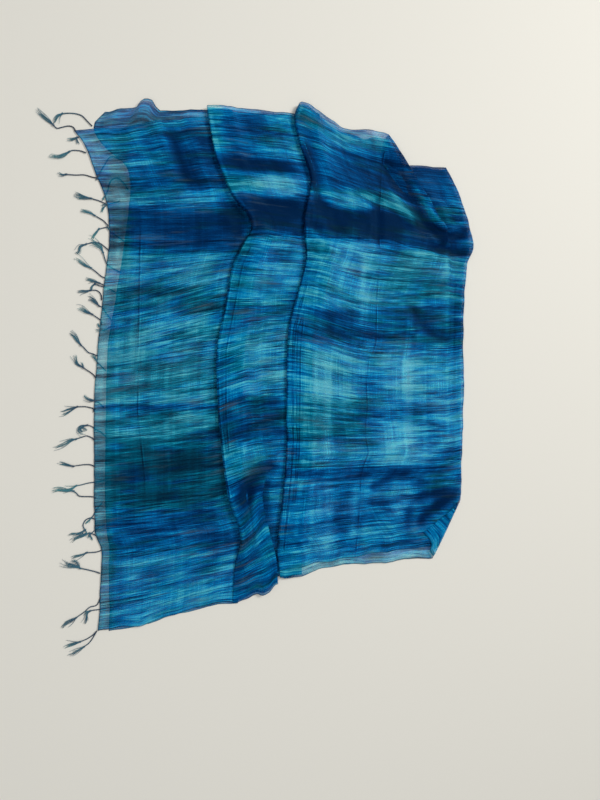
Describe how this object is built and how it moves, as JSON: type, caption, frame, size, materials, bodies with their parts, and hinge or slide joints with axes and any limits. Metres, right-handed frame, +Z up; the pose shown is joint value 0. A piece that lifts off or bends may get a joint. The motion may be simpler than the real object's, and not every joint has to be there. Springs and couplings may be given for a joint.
{
  "type": "silk scarf",
  "caption": "Sheer silk scarf folded in half and laid nearly flat, with soft cross folds, a turned corner and knotted fringe along its front edge.",
  "frame": {"origin": "under the middle of what the scarf covers, on the surface that it lies on", "axes": "+X across the cloth from its left to its right edge, +Y from the fringed ends towards the fold at the back, +Z up"},
  "size_m": [1.0081, 0.803, 0.0246],
  "materials": {
    "silk": "sheer woven silk with a soft lustre, space-dyed in blue, turquoise and teal along the warp",
    "fringe": "twisted silk threads with a knot and a loose brush end"
  },
  "bodies": {
    "root": {"silk_under_half": "silk", "silk_front_stretch": "silk", "silk_middle_left": "silk", "silk_middle_right": "silk", "silk_back_left": "silk", "silk_back_right": "silk", "silk_turned_corner": "silk", "fringe_upper_end": "fringe", "fringe_under_end": "fringe"}
  },
  "joints": []
}
